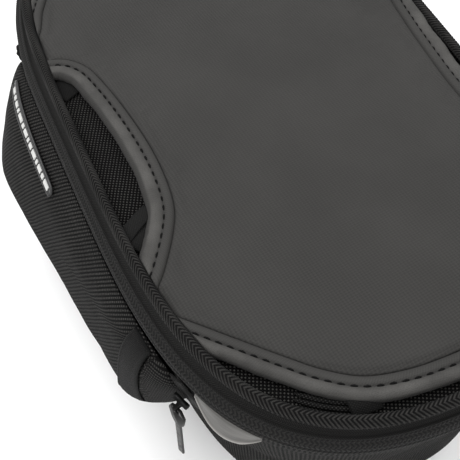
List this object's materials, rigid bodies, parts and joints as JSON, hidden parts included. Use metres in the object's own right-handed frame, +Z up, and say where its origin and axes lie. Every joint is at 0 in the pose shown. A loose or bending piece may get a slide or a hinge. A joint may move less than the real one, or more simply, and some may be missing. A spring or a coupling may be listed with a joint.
{
  "type": "tank bag",
  "caption": "Soft motorcycle tank bag lying upside down on its lid: zip-off base with an hourglass grip pad, bulged side pockets, clear map window in the lid.",
  "frame": {"origin": "on the ground under the middle of the bag, which lies upside down on its lid", "axes": "+Z up, out of the base that sits on the tank; +Y towards the far end, where base and lid are hinged; the labelled left pocket is at -X"},
  "size_m": [0.2932, 0.4316, 0.1493],
  "materials": {
    "rib_weave": "fine ribbed woven nylon, matt",
    "ballistic": "coarse ballistic weave, matt with small bright threads",
    "grip": "soft non-slip coated twill, matt",
    "binding": "smooth rolled edge binding, slightly paler than the pad",
    "zip_tape": "herringbone zip tape",
    "piping": "braided chevron piping",
    "strap": "black nylon webbing",
    "lining": "plain woven lining",
    "foam": "closed-cell foam sheet",
    "board": "polyethylene stiffener sheet",
    "reflector": "silver-grey satin reflective film",
    "label": "raised soft rubber",
    "slider": "glossy black lacquer",
    "clear_window": "clear vinyl sheet"
  },
  "bodies": {
    "bag": {"main_shell": "rib_weave", "wall_foam": "foam", "wall_lining": "lining", "floor_fabric": "rib_weave", "floor_board": "board", "floor_lining": "lining", "base_zip_chain": "zip_tape", "lid_rim_piping": "piping", "lid_border": "ballistic", "lid_zip_chain": "zip_tape", "right_pocket_zip": "zip_tape", "left_pocket_zip": "zip_tape", "right_corner_reflector": "reflector", "left_corner_reflector": "reflector", "carry_handle": "strap", "handle_sleeve": "grip", "handle_patch_left": "strap", "handle_patch_right": "strap"},
    "base": {"base_side_tape": "zip_tape", "edge_piping": "piping", "base_fabric": "ballistic", "base_board": "board", "grip_pad": "grip", "left_binding": "binding", "right_binding": "binding", "near_binding": "binding", "far_binding": "binding", "left_far_anchor": "strap", "left_near_anchor": "strap", "right_far_anchor": "strap", "right_near_anchor": "strap", "near_strap_tab": "strap", "far_strap_tab": "strap"},
    "lid": {"lid_panel": "ballistic", "lid_foam": "foam", "lid_lining": "lining", "map_window_binding": "binding", "map_window": "clear_window"},
    "left_pocket": {"left_pocket_cover": "rib_weave", "left_pocket_webbing": "strap", "left_pocket_label": "label"},
    "right_pocket": {"right_pocket_cover": "rib_weave", "right_pocket_webbing": "strap", "right_pocket_label": "label"},
    "left_pocket_slider": {"left_pocket_slider": "slider"},
    "left_pocket_pull": {"left_pocket_pull": "slider"},
    "right_pocket_slider": {"right_pocket_slider": "slider"},
    "right_pocket_pull": {"right_pocket_pull": "slider"},
    "base_zip_slider": {"base_zip_slider": "slider"},
    "base_zip_pull": {"base_zip_pull": "slider"},
    "lid_zip_slider": {"lid_zip_slider": "slider"},
    "lid_zip_pull": {"lid_zip_pull": "slider"}
  },
  "joints": [
    {"name": "base_hinge", "type": "hinge", "parent": "bag", "child": "base", "pos_m": [0, 0.1945, 0.137], "axis": [-1, 0, 0], "range_deg": [0, 75]},
    {"name": "lid_hinge", "type": "hinge", "parent": "bag", "child": "lid", "pos_m": [0, 0.1511, 0.0088], "axis": [1, 0, 0], "range_deg": [0, 100]},
    {"name": "left_pocket_hinge", "type": "hinge", "parent": "bag", "child": "left_pocket", "pos_m": [-0.1195, -0.0208, 0.1292], "axis": [0, 1, 0], "range_deg": [0, 50]},
    {"name": "right_pocket_hinge", "type": "hinge", "parent": "bag", "child": "right_pocket", "pos_m": [0.1195, -0.0208, 0.1292], "axis": [0, -1, 0], "range_deg": [0, 50]},
    {"name": "left_pocket_zip_slide", "type": "slide", "parent": "bag", "child": "left_pocket_slider", "axis": [0.1625, 0.3218, -0.9328], "range_m": [0, 0.045]},
    {"name": "right_pocket_zip_slide", "type": "slide", "parent": "bag", "child": "right_pocket_slider", "axis": [-0.1625, 0.3218, -0.9328], "range_m": [0, 0.045]},
    {"name": "base_zip_slide", "type": "slide", "parent": "bag", "child": "base_zip_slider", "axis": [-1, 0, 0], "range_m": [0, 0.048]},
    {"name": "lid_zip_slide", "type": "slide", "parent": "lid", "child": "lid_zip_slider", "axis": [-0.0141, -0.9999, 0], "range_m": [0, 0.14]},
    {"name": "left_pocket_pull_swing", "type": "hinge", "parent": "left_pocket_slider", "child": "left_pocket_pull", "pos_m": [-0.10875, -0.14567, 0.11567], "axis": [-0.3616, 0.9323, 0], "range_deg": [0, 110]},
    {"name": "right_pocket_pull_swing", "type": "hinge", "parent": "right_pocket_slider", "child": "right_pocket_pull", "pos_m": [0.10875, -0.14567, 0.11567], "axis": [-0.3616, -0.9323, 0], "range_deg": [0, 110]},
    {"name": "base_zip_pull_swing", "type": "hinge", "parent": "base_zip_slider", "child": "base_zip_pull", "pos_m": [0.024, -0.21382, 0.1332], "axis": [-1, 0, 0], "range_deg": [0, 110]},
    {"name": "lid_zip_pull_swing", "type": "hinge", "parent": "lid_zip_slider", "child": "lid_zip_pull", "pos_m": [0.07528, 0.0617, 0.0031], "axis": [0.9999, -0.0141, 0], "range_deg": [0, 80]}
  ]
}
